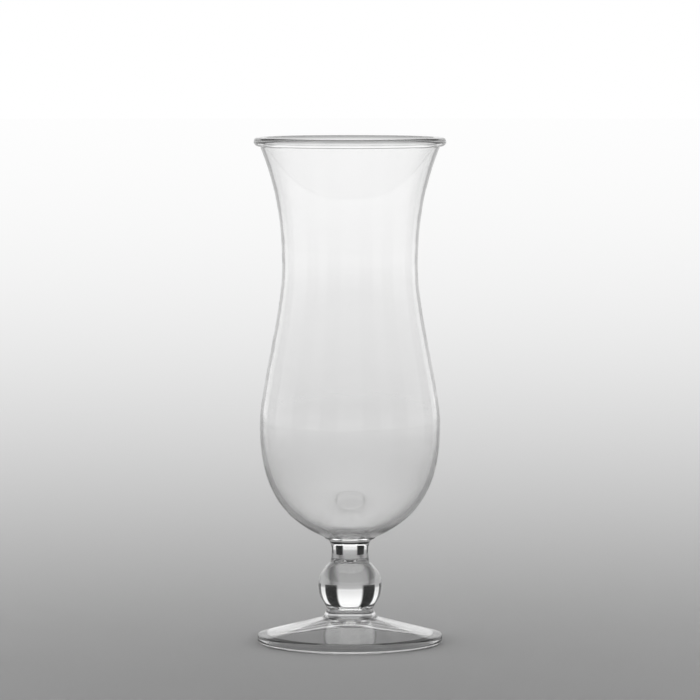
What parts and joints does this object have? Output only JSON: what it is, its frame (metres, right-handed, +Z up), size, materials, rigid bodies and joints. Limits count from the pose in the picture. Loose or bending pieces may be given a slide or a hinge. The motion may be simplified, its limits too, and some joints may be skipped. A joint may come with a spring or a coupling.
{
  "type": "hurricane glass",
  "caption": "Tall stemmed drinking glass with a waisted bowl, a beaded rim, a solid ball knop and a round cone-shaped foot.",
  "frame": {"origin": "centre of the plane that the foot rests on, on the glass's axis", "axes": "+Z up the glass's axis, from the foot towards the rim; the glass is the same all round, so +X is any level direction"},
  "size_m": [0.0794, 0.0794, 0.2095],
  "materials": {
    "clear_glass": "polished"
  },
  "bodies": {
    "root": {"foot": "clear_glass", "foot_collar": "clear_glass", "stem": "clear_glass", "bowl_collar": "clear_glass", "bowl": "clear_glass", "rim_bead": "clear_glass"}
  },
  "joints": []
}
